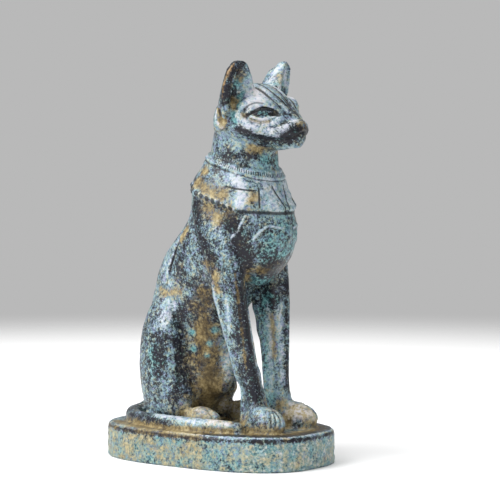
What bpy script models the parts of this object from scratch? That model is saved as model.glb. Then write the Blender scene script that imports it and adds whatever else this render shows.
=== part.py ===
"""A seated cat cast in bronze on an oval plinth, one solid casting.

Metres, +Z up. The cat looks along -Y, its tail lies along its right side (-X), and the
origin is the centre of the plinth's underside. The plinth, the tail, the beads and the
collar's thickness have sizes of their own; the figure keeps its proportions as hundredths
of FIGURE_HEIGHT, which runs from the plinth's top to the ear tips.
"""
import bpy
import bmesh
import numpy as np
from math import cos, sin, pi, radians
from mathutils import Vector

# Driving sizes of the casting
PLINTH_LENGTH = 0.0655
PLINTH_WIDTH = 0.0415
PLINTH_HEIGHT = 0.0095
PLINTH_POWER = 2.75
PLINTH_TOP_EDGE = 0.0012
PLINTH_FOOT_EDGE = 0.0003
FIGURE_HEIGHT = 0.1000
TAIL_THICKNESS = 0.0036
TAIL_SIDE_LEDGE = 0.0024
TAIL_BACK_LEDGE = 0.0032
TAIL_START = radians(2)
TAIL_END = radians(126)
BEAD_SIZE = 0.0016
BEAD_SPACING = 0.0018
COLLAR_THICKNESS = 0.0006

# Making of the skin
SKIN_GRID = 0.00050
SKIN_SMOOTHING = 4
SKIN_FACES = 9100
PLINTH_SEGMENTS = 64
EDGE_SEGMENTS = 3
SINK = 0.0015

# One hundredth of the figure's height
U = FIGURE_HEIGHT / 100

# Bronze as the eye sees it
BRONZE_COLOUR = (0.16, 0.19, 0.19, 1)
BRONZE_ROUGHNESS = 0.5

# Torso: height, rear, front, half width
TORSO = [
    (-1.0, -22.5, -6.0, 8.5),
    (4.0, -23.4, -3.0, 8.4),
    (10.0, -24.0, 1.6, 8.4),
    (17.0, -24.2, 4.2, 8.3),
    (27.0, -23.0, 7.0, 8.8),
    (36.3, -20.6, 12.0, 10.4),
    (44.5, -17.4, 20.6, 12.2),
    (51.1, -12.0, 23.2, 12.9),
    (54.4, -8.9, 23.3, 12.8),
    (57.6, -7.0, 22.7, 12.6),
    (60.9, -6.5, 21.4, 12.2),
    (64.2, -6.2, 19.6, 11.3),
    (67.5, -4.9, 18.7, 10.2),
    (69.9, -3.0, 18.1, 9.1),
    (72.7, -1.4, 17.8, 8.7),
    (76.0, -0.4, 17.3, 8.4),
    (80.0, 0.4, 15.5, 8.0),
]

# Head: forward place, top, bottom, half width, height of the widest place
HEAD = [
    (1.5, 87.0, 78.0, 4.5, 82.5),
    (4.0, 90.0, 75.0, 8.0, 83.0),
    (8.0, 92.4, 74.0, 10.0, 83.2),
    (12.5, 93.4, 74.2, 10.9, 83.2),
    (16.5, 92.6, 74.8, 10.4, 83.4),
    (20.0, 90.2, 75.2, 8.8, 83.4),
    (23.2, 87.0, 75.6, 6.4, 82.3),
    (25.8, 84.2, 76.0, 4.2, 81.0),
    (27.3, 82.8, 76.8, 2.9, 80.2),
    (28.3, 81.9, 78.2, 1.4, 80.2),
]

# Foreleg, on either side: height, forward place, side place, half depth, half width
FORELEG = [
    (64.5, 3.2, 8.0, 4.4, 3.6),
    (58.5, 4.6, 9.3, 5.8, 3.7),
    (50.0, 7.2, 9.9, 6.4, 3.7),
    (42.0, 9.3, 9.9, 5.7, 3.6),
    (36.3, 10.8, 9.4, 5.0, 3.4),
    (27.6, 12.4, 8.2, 4.3, 3.2),
    (19.4, 13.8, 6.9, 3.7, 3.0),
    (11.2, 14.9, 5.8, 3.4, 2.9),
    (5.0, 15.8, 5.9, 3.8, 3.2),
    (-1.0, 16.6, 6.3, 4.0, 3.4),
]

# Rounded masses on either side: forward, side, height, then their half sizes the same way
HAUNCH = (-12.9, 8.3, 16.5, 8.2, 5.4, 18.8)
KNEE = (-7.8, 8.9, 8.0, 4.8, 4.3, 9.5)
HIND_PAW = (1.4, 9.6, 2.4, 6.2, 3.1, 3.4)
FORE_PAW = (19.9, 7.2, 2.4, 7.4, 4.4, 4.6)
HAUNCH_TURN = radians(8)
HIND_PAW_TURN = radians(3)
FORE_PAW_TURN = radians(6)

# Ear, on either side: share of its height, half width, back, rim, depth below the rim
EAR_FOOT = (11.9, 7.9, 84.0)
EAR_TIP = (14.7, 10.7, 99.7)
EAR_TURN = radians(20)
EAR = [
    (0.00, 5.4, 5.4, 2.6, 2.4),
    (0.25, 5.2, 5.2, 2.7, 3.2),
    (0.50, 4.6, 4.6, 2.6, 3.3),
    (0.72, 3.7, 3.7, 2.3, 2.6),
    (0.88, 2.7, 2.7, 1.8, 1.4),
    (0.97, 1.6, 1.7, 1.2, 0.4),
    (1.00, 0.8, 0.8, 0.6, 0.0),
]
EARRING_PLACE = (8.7, 11.0, 83.6)
EARRING_WIDTH = 1.1
EARRING_DROP = 2.4
EARRING_ROUND = 0.95

# Collar: heights of its upper and lower edge over the body's axis, and their fall forwards
COLLAR_TOP = 73.9
COLLAR_TOP_FALL = 0.26
COLLAR_FOOT = 62.7
COLLAR_FOOT_FALL = 0.197
COLLAR_AXIS = 8.0
COLLAR_DEPTH = 14.6
COLLAR_WIDTH = 12.6
BIB_SPREAD = radians(65)

# Eye, on either side: middle, and its half length and half heights
EYE = (18.6, 6.9, 84.9)
EYE_TURN = radians(32)
EYE_LENGTH = 3.9
EYE_ABOVE = 1.9
EYE_BELOW = 1.9


def clear_scene():
    for item in list(bpy.data.objects):
        bpy.data.objects.remove(item, do_unlink=True)


def place(forward, side, height):
    """A figure place, in hundredths of its height, as a point in metres."""
    return Vector((side * U, -forward * U, PLINTH_HEIGHT + height * U))


def power(value, exponent):
    return abs(value) ** exponent * (1 if value >= 0 else -1)


def eased(rows, steps=4):
    """Rows with smooth rows between them, on a curve through the given ones."""
    rows = np.array(rows, dtype=float)
    padded = np.vstack([2 * rows[0] - rows[1], rows, 2 * rows[-1] - rows[-2]])
    finer = []
    for before, start, end, after in zip(padded, padded[1:], padded[2:], padded[3:]):
        for step in range(steps):
            t = step / steps
            finer.append(0.5 * (2 * start + (end - before) * t
                                + (2 * before - 5 * start + 4 * end - after) * t ** 2
                                + (3 * start - before - 3 * end + after) * t ** 3))
    finer.append(rows[-1])
    return finer


def add_loft(bm, rings, endless=False):
    """Closed skin through rings of equally many points, capped or joined end to end."""
    loops = []
    for ring in rings:
        verts = [bm.verts.new(point) for point in ring]
        edges = [bm.edges.new(pair) for pair in zip(verts, verts[1:] + verts[:1])]
        loops.append((verts, edges))
    for (_, low), (_, high) in zip(loops, loops[1:]):
        bmesh.ops.bridge_loops(bm, edges=low + high)
    if endless:
        bmesh.ops.bridge_loops(bm, edges=loops[-1][1] + loops[0][1])
    else:
        bm.faces.new(loops[0][0])
        bm.faces.new(loops[-1][0])


def level_ring(height, rear, front, half_width, side=0.0, exponent=2.0, sides=32):
    """Oval ring lying level, from rear to front."""
    middle = (rear + front) / 2
    half_depth = (front - rear) / 2
    ring = []
    for i in range(sides):
        angle = 2 * pi * i / sides
        ring.append(place(
            middle + half_depth * power(cos(angle), 2 / exponent),
            side + half_width * power(sin(angle), 2 / exponent),
            height))
    return ring


def upright_ring(forward, top, bottom, half_width, widest, sides=32):
    """Oval ring standing across the head, drawn in below its widest place."""
    ring = []
    for i in range(sides):
        angle = 2 * pi * i / sides
        if sin(angle) >= 0:
            rise, tuck = top - widest, 1.0
        else:
            rise, tuck = widest - bottom, 1.35
        ring.append(place(forward, half_width * power(cos(angle), tuck),
                          widest + rise * sin(angle)))
    return ring


def add_mass(bm, side, mass, turn=0.0):
    """Rounded mass on one side of the body, turned outwards in plan."""
    forward, out, height, half_depth, half_width, half_height = mass
    made = bmesh.ops.create_uvsphere(bm, u_segments=24, v_segments=16, radius=1.0)
    for vert in made["verts"]:
        ahead = vert.co.x * half_depth
        across = vert.co.y * half_width
        vert.co = place(
            forward + ahead * cos(turn) - across * sin(turn),
            side * (out + across * cos(turn) + ahead * sin(turn)),
            height + vert.co.z * half_height)


def add_ball(bm, forward, side, height, radius):
    made = bmesh.ops.create_uvsphere(bm, u_segments=14, v_segments=10, radius=radius * U)
    bmesh.ops.translate(bm, verts=made["verts"], vec=place(forward, side, height))


def add_tube(bm, path, axis, endless=False, sides=14):
    """Tube through points with radii, flat to an axis, with round ends unless endless."""
    rings = []
    for i, (point, radius) in enumerate(path):
        before = path[i - 1][0] if i or endless else point
        after = path[(i + 1) % len(path)][0] if i < len(path) - 1 or endless else point
        along = (after - before).normalized()
        across = along.cross(axis).normalized()
        up = across.cross(along)
        steps = [(0.0, 1.0)]
        if not endless and i == 0:
            steps = [(-sin(turn), cos(turn)) for turn in (1.3, 0.9, 0.45, 0.0)]
        elif not endless and i == len(path) - 1:
            steps = [(sin(turn), cos(turn)) for turn in (0.0, 0.45, 0.9, 1.3)]
        for ahead, share in steps:
            rings.append([point + along * ahead * radius
                          + (across * cos(2 * pi * k / sides) + up * sin(2 * pi * k / sides))
                          * radius * share for k in range(sides)])
    add_loft(bm, rings, endless)


def add_swell(bm, side, rows):
    """Rounded swelling through places: forward, side, height, radius."""
    path = [(place(forward, side * out, height), radius * U)
            for forward, out, height, radius in eased(rows, 3)]
    add_tube(bm, path, Vector((0, 0, 1)))


def add_foreleg(bm, side):
    rings = []
    for height, forward, out, half_depth, half_width in eased(FORELEG):
        rings.append(level_ring(height, forward - half_depth, forward + half_depth,
                                half_width, side=side * out, exponent=3.4, sides=28))
    add_loft(bm, rings)


def add_face(bm, side):
    """Cheek, brow, eyeball and lip of one side, which the smoothing melts together."""
    add_swell(bm, side, [(10.5, 9.0, 83.0, 2.2), (16.0, 8.5, 81.6, 2.5),
                         (21.0, 5.7, 80.6, 2.4), (25.4, 2.6, 80.6, 2.2)])
    add_swell(bm, side, [(14.0, 9.3, 87.0, 1.2), (18.4, 7.3, 88.4, 1.5), (21.9, 4.4, 86.8, 1.2)])
    add_ball(bm, 18.1, side * 6.0, 84.9, 2.8)


def add_nose(bm):
    add_swell(bm, 1, [(19.0, 0, 88.6, 2.2), (23.4, 0, 84.9, 1.7), (26.9, 0, 82.3, 1.5)])
    add_ball(bm, 27.6, 0, 81.4, 1.3)
    add_ball(bm, 25.6, 0, 77.9, 2.2)


def ear_ring(side, share, half_width, back, rim, hollow, sides=32):
    """Ring of the ear, dished on the side that looks forward and out."""
    middle = Vector(EAR_FOOT).lerp(Vector(EAR_TIP), share)
    ring = []
    for i in range(sides):
        angle = 2 * pi * i / sides
        across = half_width * cos(angle)
        if sin(angle) <= 0:
            ahead = back * sin(angle)
        else:
            ahead = rim * sin(angle) ** 0.6
            ahead -= hollow * max(0.0, 1 - (cos(angle) / 0.82) ** 2) ** 0.8
        ring.append(place(
            middle.x + ahead * cos(EAR_TURN) - across * sin(EAR_TURN),
            side * (middle.y + across * cos(EAR_TURN) + ahead * sin(EAR_TURN)),
            middle.z))
    return ring


def add_ear(bm, side):
    add_loft(bm, [ear_ring(side, *section) for section in eased(EAR, 3)])


def add_earring(bm, side):
    """Ring cast on the lower outer corner of the ear."""
    forward, out, height = EARRING_PLACE
    turns = 24
    path = []
    for i in range(turns):
        angle = 2 * pi * i / turns
        path.append((place(forward + EARRING_WIDTH * cos(angle), side * (out - 0.25 * sin(angle)),
                           height + EARRING_DROP * sin(angle)), EARRING_ROUND * U))
    add_tube(bm, path, Vector((1, 0, 0)), endless=True)


def tail_path():
    """Middle line and radius of the tail, from the rump round the right haunch to its tip."""
    width = PLINTH_WIDTH / 2 - TAIL_SIDE_LEDGE - TAIL_THICKNESS / 2
    reach = PLINTH_LENGTH / 2 - TAIL_BACK_LEDGE - TAIL_THICKNESS / 2
    lying = PLINTH_HEIGHT + TAIL_THICKNESS * 0.42
    points = [(place(-19.0, 1.5, 6.5), TAIL_THICKNESS * 0.85),
              (place(-22.5, 1.2, 4.0), TAIL_THICKNESS * 0.75)]
    steps = 34
    for i in range(steps + 1):
        share = i / steps
        angle = TAIL_START + (TAIL_END - TAIL_START) * share
        point = Vector((-width * sin(angle), reach * cos(angle), lying))
        points.append((point, TAIL_THICKNESS / 2 * (1.20 - 0.24 * share)))
    return points


def add_tail(bm):
    add_tube(bm, tail_path(), Vector((0, 0, 1)))


def oval(length, width, height):
    """Plan outline of the plinth at a height."""
    ring = []
    for i in range(PLINTH_SEGMENTS):
        angle = 2 * pi * i / PLINTH_SEGMENTS
        ring.append(Vector((width / 2 * power(sin(angle), 2 / PLINTH_POWER),
                            length / 2 * power(cos(angle), 2 / PLINTH_POWER), height)))
    return ring


def add_root(bm):
    """Slab just under the plinth's top, which the figure's foot fillets run into."""
    inset = 2 * TAIL_SIDE_LEDGE
    rings = [oval(PLINTH_LENGTH - inset, PLINTH_WIDTH - inset, PLINTH_HEIGHT - drop)
             for drop in (SINK, 0.0001)]
    add_loft(bm, rings)


def add_torso(bm):
    add_loft(bm, [level_ring(*row, exponent=2.15) for row in eased(TORSO)])


def add_head(bm):
    add_loft(bm, [upright_ring(*row) for row in eased(HEAD)])


def figure_masses():
    """Every mass of the figure, each a builder and its values."""
    masses = [(add_torso,), (add_head,), (add_nose,), (add_tail,), (add_root,)]
    for side in (-1, 1):
        masses += [(add_foreleg, side), (add_face, side), (add_ear, side), (add_earring, side),
                   (add_mass, side, HAUNCH, HAUNCH_TURN), (add_mass, side, KNEE, HAUNCH_TURN),
                   (add_mass, side, HIND_PAW, HIND_PAW_TURN),
                   (add_mass, side, FORE_PAW, FORE_PAW_TURN)]
    return masses


def skin_figure():
    """The figure as one even skin over its overlapping masses."""
    bm = bmesh.new()
    for build, *values in figure_masses():
        mass = bmesh.new()
        build(mass, *values)
        bmesh.ops.recalc_face_normals(mass, faces=mass.faces)
        mesh = bpy.data.meshes.new("mass")
        mass.to_mesh(mesh)
        mass.free()
        bm.from_mesh(mesh)
        bpy.data.meshes.remove(mesh)
    mesh = bpy.data.meshes.new("figure_masses")
    bm.to_mesh(mesh)
    bm.free()
    figure = bpy.data.objects.new("figure_skin", mesh)
    bpy.context.scene.collection.objects.link(figure)
    remesh = figure.modifiers.new("even skin", "REMESH")
    remesh.mode = "VOXEL"
    remesh.voxel_size = SKIN_GRID
    smooth = figure.modifiers.new("fillets", "SMOOTH")
    smooth.iterations = SKIN_SMOOTHING
    smooth.factor = 0.5
    bake(figure)
    return figure


def bake(item):
    """The object's evaluated mesh as its own mesh, with no modifier left."""
    graph = bpy.context.evaluated_depsgraph_get()
    mesh = bpy.data.meshes.new_from_object(item.evaluated_get(graph))
    item.modifiers.clear()
    item.data = mesh


def ramp(value, start, end):
    """Smooth rise from 0 at start to 1 at end."""
    t = np.clip((value - start) / (end - start), 0, 1)
    return t * t * (3 - 2 * t)


def bump(distance, width):
    return np.exp(-(distance / width) ** 2)


def collar_arc(forward, side):
    """Angle round the collar from its front, and the arc length at the beads in metres."""
    angle = np.arctan2(side / COLLAR_WIDTH, (forward - COLLAR_AXIS) / COLLAR_DEPTH)
    turn = np.linspace(-pi, pi, 721)
    step = np.hypot(COLLAR_DEPTH * np.sin(turn), COLLAR_WIDTH * np.cos(turn)) * U
    length = np.cumsum(step) * (turn[1] - turn[0])
    length -= np.interp(0, turn, length)
    return angle, np.interp(angle, turn, length)


def collar_relief(forward, side, height):
    """Collar standing proud of the neck, its bead row, and the bib with its middle line."""
    top = COLLAR_TOP - COLLAR_TOP_FALL * forward
    foot = COLLAR_FOOT - COLLAR_FOOT_FALL * forward
    near = (height > 50) & (height < 76) & (np.abs(side) < 15)
    angle, arc = collar_arc(forward, side)
    sheet = ramp(height, foot - 0.2, foot + 0.35) * (1 - ramp(height, top - 0.5, top + 0.5))
    rise = COLLAR_THICKNESS * sheet
    bib = 1 - ramp(np.abs(angle), BIB_SPREAD, BIB_SPREAD + 0.06)
    hem = ramp(height, foot - 0.2, foot + 0.3) * (1 - ramp(height, foot + 1.4, foot + 2.2))
    rise += 0.5 * COLLAR_THICKNESS * hem * bib
    along = arc / BEAD_SPACING
    along = (along - np.round(along)) * BEAD_SPACING
    distance = np.hypot(along, (height - foot - 0.4) * U)
    radius = BEAD_SIZE / 2
    bead = np.sqrt(np.clip(radius ** 2 - distance ** 2, 0, None)) * (1 - bib)
    rise = np.maximum(rise, bead * 1.1)
    rise -= 0.6 * COLLAR_THICKNESS * bump(side, 0.28) * sheet * (forward > COLLAR_AXIS)
    return rise * near


def eye_relief(forward, side, height):
    """Eyeball inside two lids under an arched brow."""
    out = np.abs(side)
    ahead = (forward - EYE[0]) * cos(EYE_TURN) - (out - EYE[1]) * sin(EYE_TURN)
    depth = (forward - EYE[0]) * sin(EYE_TURN) + (out - EYE[1]) * cos(EYE_TURN)
    up = height - EYE[2] + 0.06 * ahead
    half = np.where(up > 0, EYE_ABOVE, EYE_BELOW)
    span = np.abs(ahead / EYE_LENGTH) ** 1.7 + np.abs(up / half) ** 1.7
    rise = -0.50 * bump(span - 1.0, 0.36) + 0.34 * bump(span - 1.85, 0.45)
    arch = EYE_ABOVE + 2.0 - 0.10 * ahead ** 2
    rise += 0.30 * bump(up - arch, 0.65) * (1 - ramp(np.abs(ahead), 3.2, 5.2))
    return rise * U * (np.abs(depth) < 4.5) * (np.abs(ahead) < 7) * (np.abs(up) < 6)


def groove(points, rows, width):
    """Nearness, from 0 to 1, of points to a path through rows of places on either side."""
    nearest = np.full(len(points), 1e9)
    path = np.array(eased(rows, 4))
    for start, end in zip(path, path[1:]):
        run = end - start
        share = np.clip((points - start) @ run / (run @ run), 0, 1)
        gap = np.linalg.norm(points - start - share[:, None] * run, axis=1)
        nearest = np.minimum(nearest, gap)
    return bump(nearest, width)


def carve(figure):
    """Carving that shows from a step away, cut along the skin's own normals."""
    mesh = figure.data
    count = len(mesh.vertices)
    points = np.empty(count * 3)
    mesh.vertices.foreach_get("co", points)
    points = points.reshape(-1, 3)
    normals = np.empty(count * 3)
    mesh.vertices.foreach_get("normal", normals)
    normals = normals.reshape(-1, 3)
    side = points[:, 0] / U
    forward = -points[:, 1] / U
    height = (points[:, 2] - PLINTH_HEIGHT) / U
    mirrored = np.stack([forward, np.abs(side), height], axis=1)
    rise = collar_relief(forward, side, height) + eye_relief(forward, side, height)
    mouth = [(28.4, 0.0, 79.4), (26.4, 2.9, 79.0), (23.0, 5.0, 79.3), (20.0, 7.0, 80.0)]
    rise -= 0.6 * U * groove(mirrored, mouth, 0.45)
    for out in (-2.0, 0.1, 2.2):
        toe = [(21.5, 8.2 + out, 5.4), (24.6, 8.7 + out, 4.2), (26.6, 9.1 + out, 0.6)]
        rise -= 0.95 * U * groove(mirrored, toe, 0.55)
    haunch_front = [(-8.6, 10.2, 33.0), (-6.0, 11.4, 26.0), (-5.0, 11.6, 16.0), (-5.4, 11.4, 6.0)]
    rise -= 0.7 * U * groove(mirrored, haunch_front, 0.9)
    shoulder_back = [(0.0, 12.2, 57.0), (2.6, 12.8, 50.0), (4.8, 12.4, 43.0), (6.2, 11.0, 36.0)]
    rise -= 0.5 * U * groove(mirrored, shoulder_back, 0.9)
    for out in (-1.0, 1.1):
        toe = [(4.0, 9.9 + out, 5.6), (6.6, 10.0 + out, 3.8), (7.8, 10.1 + out, 0.8)]
        rise -= 0.8 * U * groove(mirrored, toe, 0.5)
    points += normals * rise[:, None]
    mesh.vertices.foreach_set("co", points.ravel())
    mesh.update()


def lighten(figure):
    """Fewer, larger faces where the skin is plain."""
    decimate = figure.modifiers.new("fewer faces", "DECIMATE")
    decimate.ratio = SKIN_FACES / (2 * len(figure.data.polygons))
    decimate.use_collapse_triangulate = True
    bake(figure)


def make_plinth():
    """Oval plinth with a rounded upper edge and a small lower one."""
    rings = []
    for i in range(2):
        inset = PLINTH_FOOT_EDGE * (1 - i)
        rings.append(oval(PLINTH_LENGTH - 2 * inset, PLINTH_WIDTH - 2 * inset,
                          PLINTH_FOOT_EDGE * i))
    for i in range(EDGE_SEGMENTS + 1):
        angle = pi / 2 * i / EDGE_SEGMENTS
        inset = PLINTH_TOP_EDGE * (1 - cos(angle))
        rings.append(oval(PLINTH_LENGTH - 2 * inset, PLINTH_WIDTH - 2 * inset,
                          PLINTH_HEIGHT - PLINTH_TOP_EDGE * (1 - sin(angle))))
    bm = bmesh.new()
    add_loft(bm, rings)
    bmesh.ops.recalc_face_normals(bm, faces=bm.faces)
    mesh = bpy.data.meshes.new("cat_statue")
    bm.to_mesh(mesh)
    bm.free()
    plinth = bpy.data.objects.new("cat_statue", mesh)
    bpy.context.scene.collection.objects.link(plinth)
    return plinth


def bronze():
    material = bpy.data.materials.new("patinated cast bronze")
    material.use_nodes = True
    shader = material.node_tree.nodes["Principled BSDF"]
    shader.inputs["Base Color"].default_value = BRONZE_COLOUR
    shader.inputs["Roughness"].default_value = BRONZE_ROUGHNESS
    shader.inputs["Metallic"].default_value = 1.0
    return material


def main():
    clear_scene()
    figure = skin_figure()
    carve(figure)
    lighten(figure)
    statue = make_plinth()
    union = statue.modifiers.new("figure on plinth", "BOOLEAN")
    union.operation = "UNION"
    union.solver = "EXACT"
    union.object = figure
    bake(statue)
    bpy.data.objects.remove(figure, do_unlink=True)
    statue.data.materials.clear()
    statue.data.materials.append(bronze())
    statue.data.shade_smooth()
    statue.data.set_sharp_from_angle(angle=radians(50))
    print("cat_statue", len(statue.data.polygons), "faces")


main()
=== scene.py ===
# %% [markdown]
# The statue is one solid bronze casting: a seated cat with its collar, earrings and tail, on an
# oval plinth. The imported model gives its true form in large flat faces. This lesson lays a
# fine skin over that form, cuts the small carving into it as a chaser would after casting, and
# then gives the metal its dark skin, its verdigris and the ochre dirt in its hollows.

# %% Load the frame
from math import pi, radians

import bmesh
import bpy
import numpy as np
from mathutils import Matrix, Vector, noise


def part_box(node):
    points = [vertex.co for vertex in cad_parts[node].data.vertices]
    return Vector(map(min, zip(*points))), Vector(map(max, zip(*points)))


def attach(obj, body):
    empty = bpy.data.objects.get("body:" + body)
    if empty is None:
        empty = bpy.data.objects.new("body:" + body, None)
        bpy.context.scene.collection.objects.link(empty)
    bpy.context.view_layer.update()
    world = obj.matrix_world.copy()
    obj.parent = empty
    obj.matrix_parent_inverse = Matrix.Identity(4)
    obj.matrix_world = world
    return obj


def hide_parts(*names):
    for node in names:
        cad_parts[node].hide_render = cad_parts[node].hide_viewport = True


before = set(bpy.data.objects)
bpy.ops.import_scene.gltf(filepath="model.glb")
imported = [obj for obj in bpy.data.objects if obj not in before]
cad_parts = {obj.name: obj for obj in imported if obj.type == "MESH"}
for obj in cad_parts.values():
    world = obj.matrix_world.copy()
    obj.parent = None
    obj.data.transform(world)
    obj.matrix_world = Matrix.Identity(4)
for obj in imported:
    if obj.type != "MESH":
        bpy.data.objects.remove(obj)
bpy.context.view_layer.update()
MM = 0.001
PLINTH_TOP = 9.5 * MM
low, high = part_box("cat_statue")
print("statue, mm:", [round((b - a) / MM, 1) for a, b in zip(low, high)])

# %% [markdown]
# The camera stands where the photograph was taken from: close by the cat's right front, with
# its lens a little under the height of the chin, and with a long lens, so that the upright
# lines hardly lean.

# %% Camera
CAMERA_PLACE = (-0.5216, -0.3973, 0.0978)
CAMERA_AIM = (0.0050, -0.0066, 0.0573)
LENS_MM = 172.8
SENSOR_MM = 36.0
NEAR_CLIP = 0.01

camera = bpy.data.objects.new("camera", bpy.data.cameras.new("camera"))
bpy.context.scene.collection.objects.link(camera)
camera.location = CAMERA_PLACE
looking = Vector(CAMERA_AIM) - Vector(CAMERA_PLACE)
camera.rotation_euler = looking.to_track_quat("-Z", "Y").to_euler()
camera.data.lens = LENS_MM
camera.data.sensor_width = SENSOR_MM
camera.data.clip_start = NEAR_CLIP
bpy.context.scene.camera = camera
bpy.context.scene.view_settings.view_transform = "Standard"
print("camera looks from", round(looking.length / MM), "mm away")

# %% [markdown]
# Colours are written as the eye reads them, in sRGB hex, and one function turns them into the
# linear values that a shader works with. A second small function adds a node, sets its values
# and joins its links, so that each finish below reads from top to bottom.

# %% Colour and node helpers


def linear(code, alpha=1.0):
    """Linear RGBA of an sRGB hex colour."""
    values = [int(code[i:i + 2], 16) / 255 for i in (1, 3, 5)]
    return [v / 12.92 if v <= 0.04045 else ((v + 0.055) / 1.055) ** 2.4 for v in values] + [alpha]


def add_node(tree, kind, settings=None, values=None, links=None):
    """A node with its settings, its socket values and its incoming links."""
    node = tree.nodes.new(kind)
    for name, value in (settings or {}).items():
        setattr(node, name, value)
    for name, value in (values or {}).items():
        node.inputs[name].default_value = value
    for name, source in (links or {}).items():
        tree.links.new(source, node.inputs[name])
    return node


print("mid grey #808080 in linear light:", round(linear("#808080")[0], 3))

# %% [markdown]
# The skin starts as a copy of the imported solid. Its loose triangles are merged at their
# corners, and a voxel remesh then gives an even net of small squares about a third of a
# millimetre wide, fine enough for a chisel line.

# %% A fine skin over the solid
SKIN_VOXEL = 0.36 * MM
WELD = 0.001 * MM
FACET_ROUNDS = 22
TABLE_GAP = 0.05 * MM

bm = bmesh.new()
bm.from_mesh(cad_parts["cat_statue"].data)
bmesh.ops.remove_doubles(bm, verts=bm.verts, dist=WELD)
mesh = bpy.data.meshes.new("seated_cat")
bm.to_mesh(mesh)
bm.free()
cat = bpy.data.objects.new("seated_cat", mesh)
bpy.context.scene.collection.objects.link(cat)


def settle(item):
    """Makes what the modifiers show the object's own mesh."""
    graph = bpy.context.evaluated_depsgraph_get()
    finished = bpy.data.meshes.new_from_object(item.evaluated_get(graph))
    item.modifiers.clear()
    item.data = finished


remesh = cat.modifiers.new("even net", "REMESH")
remesh.mode = "VOXEL"
remesh.voxel_size = SKIN_VOXEL
settle(cat)
print("skin:", len(cat.data.vertices), "points")

# %% [markdown]
# The net still has the solid's flat facets, so it is relaxed: each point moves towards the
# middle of its neighbours. That alone would shrink the ears and paws, so each step in is
# followed by a slightly larger step out, which keeps the volume.

# %% Relax the facets


def read(name):
    """Positions or normals of the skin's points, as rows."""
    values = np.empty(len(cat.data.vertices) * 3)
    cat.data.vertices.foreach_get(name, values)
    return values.reshape(-1, 3)


pairs = np.empty(len(cat.data.edges) * 2, dtype=int)
cat.data.edges.foreach_get("vertices", pairs)
pairs = pairs.reshape(-1, 2)
ends = np.concatenate([pairs[:, 0], pairs[:, 1]])
others = np.concatenate([pairs[:, 1], pairs[:, 0]])
neighbours = np.bincount(ends, minlength=len(cat.data.vertices))


def neighbour_mean(values):
    """Mean of each point's neighbours, column by column."""
    total = [np.bincount(ends, column[others], len(neighbours)) for column in values.T]
    return np.stack(total, axis=1) / neighbours[:, None]


def relaxed(values, rounds, inward=0.5, outward=0.53, share=1.0):
    """Values evened out with their neighbours, round by round."""
    for _ in range(rounds):
        values = values + inward * share * (neighbour_mean(values) - values)
        if outward:
            values = values - outward * share * (neighbour_mean(values) - values)
    return values


def write_points(values):
    """Moves the skin's points."""
    cat.data.vertices.foreach_set("co", values.ravel())
    cat.data.update()


points = read("co")
on_table = points[:, 2] < TABLE_GAP
points = relaxed(points, FACET_ROUNDS)
print("points on the flat underside:", int(on_table.sum()))

# %% [markdown]
# Places on the figure are given as the carver would: how far forward, how far out to the side
# and how high above the plinth, in millimetres. The two sides of the cat are alike apart from
# the tail, so most places are measured out from the middle and count for both sides.
#
# A carved line is a smooth curve through a few places. Its depth fades away on either side of
# the curve, and the gap to it is measured along the skin, so that a place need not lie
# exactly on the surface.

# %% Places and carved lines


def figure_places(values):
    """Rows as forward, side and height over the plinth, in millimetres."""
    return np.stack([-values[:, 1], values[:, 0], values[:, 2] - PLINTH_TOP], axis=1) / MM


def mirrored(values):
    """The same rows, measured out from the middle."""
    return np.stack([values[:, 0], np.abs(values[:, 1]), values[:, 2]], axis=1)


def smooth_path(rows, steps=5):
    """Points on a curve through the given rows."""
    rows = np.array(rows, dtype=float)
    padded = np.vstack([2 * rows[0] - rows[1], rows, 2 * rows[-1] - rows[-2]])
    finer = []
    for before, start, end, after in zip(padded, padded[1:], padded[2:], padded[3:]):
        for t in np.arange(steps) / steps:
            finer.append(0.5 * (2 * start + (end - before) * t
                                + (2 * before - 5 * start + 4 * end - after) * t ** 2
                                + (3 * start - before - 3 * end + after) * t ** 3))
    finer.append(rows[-1])
    return np.array(finer)


def ramp(value, start, end):
    """Smooth rise from 0 at start to 1 at end."""
    t = np.clip((value - start) / (end - start), 0, 1)
    return t * t * (3 - 2 * t)


REACH_OFF_SKIN = 2.5


def line(rows, width, both_sides=True):
    """Nearness, from 0 to 1, of each point of the skin to a curve through rows."""
    places, facing = (out_places, out_facing) if both_sides else (true_places, true_facing)
    path = smooth_path(rows) if len(rows) > 1 else np.array([rows[0], rows[0]], dtype=float)
    reach = 3 * width + REACH_OFF_SKIN
    close = np.all((places > path.min(0) - reach) & (places < path.max(0) + reach), axis=1)
    here, normal = places[close], facing[close]
    nearest = np.full(len(here), np.inf)
    for start, end in zip(path, path[1:]):
        run = end - start
        share = np.clip((here - start) @ run / max(run @ run, 1e-9), 0, 1)
        gap = here - start - share[:, None] * run
        off = np.sum(gap * normal, axis=1)
        along = np.linalg.norm(gap - off[:, None] * normal, axis=1)
        along = np.hypot(along, 2 * np.clip(np.abs(off) - REACH_OFF_SKIN, 0, None))
        nearest = np.minimum(nearest, along)
    found = np.zeros(len(places))
    found[close] = np.exp(-(nearest / width) ** 2)
    return found


def look_again():
    """Measures the skin's places and facing afresh, after it has moved."""
    global true_places, true_facing, out_places, out_facing, forward, side, height
    write_points(points)
    normals = read("normal")
    true_places = figure_places(points)
    true_facing = np.stack([-normals[:, 1], normals[:, 0], normals[:, 2]], axis=1)
    out_places = mirrored(true_places)
    out_facing = true_facing * np.where(true_places[:, 1:2] < 0, (1, -1, 1), (1, 1, 1))
    forward, side, height = true_places.T
    return normals


def skin_noise(size, octaves=1):
    """Smooth noise over the skin with features of about that many millimetres."""
    scaled = (true_places / size).tolist()
    if octaves == 1:
        return np.array([noise.noise(Vector(place)) for place in scaled])
    return np.array([noise.fractal(Vector(place), 1.0, 2.0, octaves) for place in scaled])


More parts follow.
